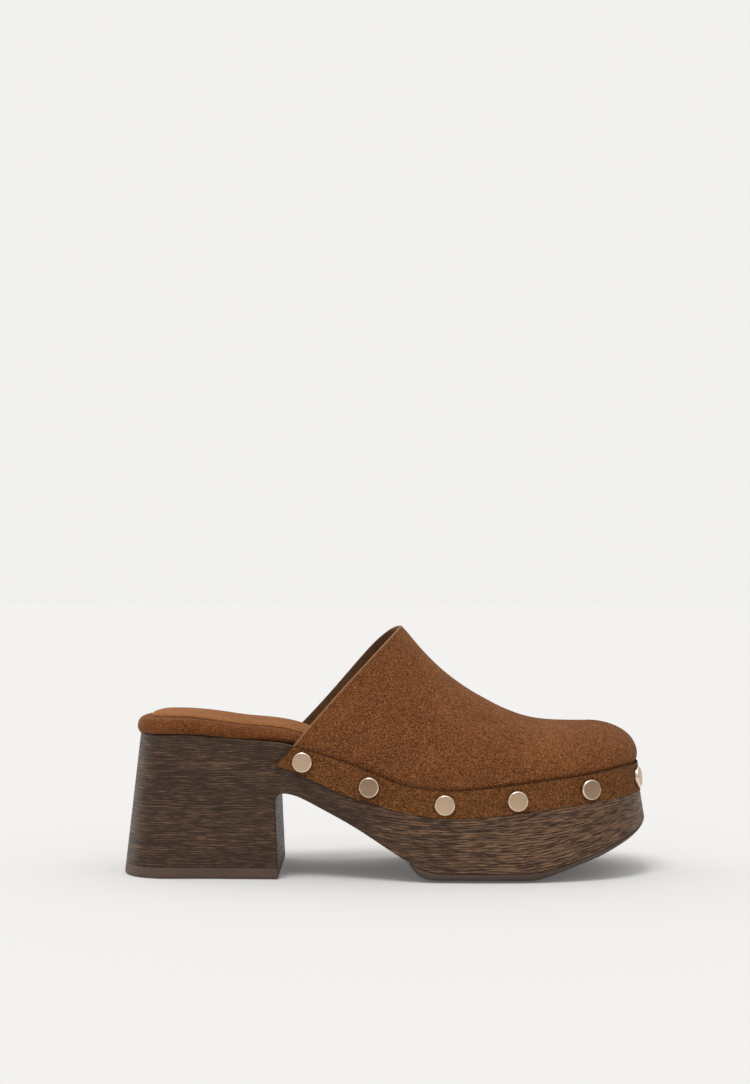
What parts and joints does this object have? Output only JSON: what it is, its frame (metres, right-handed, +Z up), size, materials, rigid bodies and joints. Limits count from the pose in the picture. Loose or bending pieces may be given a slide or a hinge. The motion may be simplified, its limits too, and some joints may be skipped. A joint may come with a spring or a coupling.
{
  "type": "wooden platform clog",
  "caption": "Right-foot mule clog: suede upper and studded suede band on a one-piece wooden platform with a block heel.",
  "frame": {"origin": "on the ground under the middle of the shoe's bounding box", "axes": "+X towards the toe, +Y towards the medial (inner) side, +Z up"},
  "size_m": [0.2596, 0.101, 0.1218],
  "materials": {
    "wood": "dark brown stained, brushed grain, satin",
    "rubber": "matte moulded rubber, dark brown",
    "suede_vamp": "brown suede with a fine nap",
    "suede_band": "brown suede with a fine nap",
    "suede_footbed": "brown suede with a fine nap",
    "lining": "smooth dark brown lining leather",
    "backing_cloth": "woven cotton backing",
    "toe_stiffener": "thermoplastic toe stiffener",
    "board": "cellulose insole board",
    "foam": "open-cell cushion foam",
    "stud_metal": "pale gold, satin face with a polished rim",
    "steel": "plain steel"
  },
  "bodies": {
    "root": {"wooden_sole": "wood", "heel_top_piece": "rubber", "forefoot_outsole": "rubber", "vamp_outer": "suede_vamp", "rand_band": "suede_band", "vamp_lining": "lining", "vamp_interlining": "backing_cloth", "toe_puff": "toe_stiffener", "topline_tape": "backing_cloth", "insole_board": "board", "footbed_foam": "foam", "footbed_cover": "suede_footbed", "sock_pad_foam": "foam", "sock_lining": "suede_footbed", "stud_cap_01": "stud_metal", "stud_cap_02": "stud_metal", "stud_cap_03": "stud_metal", "stud_cap_04": "stud_metal", "stud_cap_05": "stud_metal", "stud_cap_06": "stud_metal", "stud_cap_07": "stud_metal", "stud_cap_08": "stud_metal", "stud_cap_09": "stud_metal", "stud_cap_10": "stud_metal", "stud_cap_11": "stud_metal", "stud_cap_12": "stud_metal", "stud_nail_01": "steel", "stud_nail_02": "steel", "stud_nail_03": "steel", "stud_nail_04": "steel", "stud_nail_05": "steel", "stud_nail_06": "steel", "stud_nail_07": "steel", "stud_nail_08": "steel", "stud_nail_09": "steel", "stud_nail_10": "steel", "stud_nail_11": "steel", "stud_nail_12": "steel", "lasting_tack_01": "steel", "lasting_tack_02": "steel", "lasting_tack_03": "steel", "lasting_tack_04": "steel", "lasting_tack_05": "steel", "lasting_tack_06": "steel", "lasting_tack_07": "steel", "lasting_tack_08": "steel", "lasting_tack_09": "steel", "lasting_tack_10": "steel", "lasting_tack_11": "steel", "heel_top_piece_nail_1": "steel", "heel_top_piece_nail_2": "steel", "heel_top_piece_nail_3": "steel", "heel_top_piece_nail_4": "steel"}
  },
  "joints": []
}
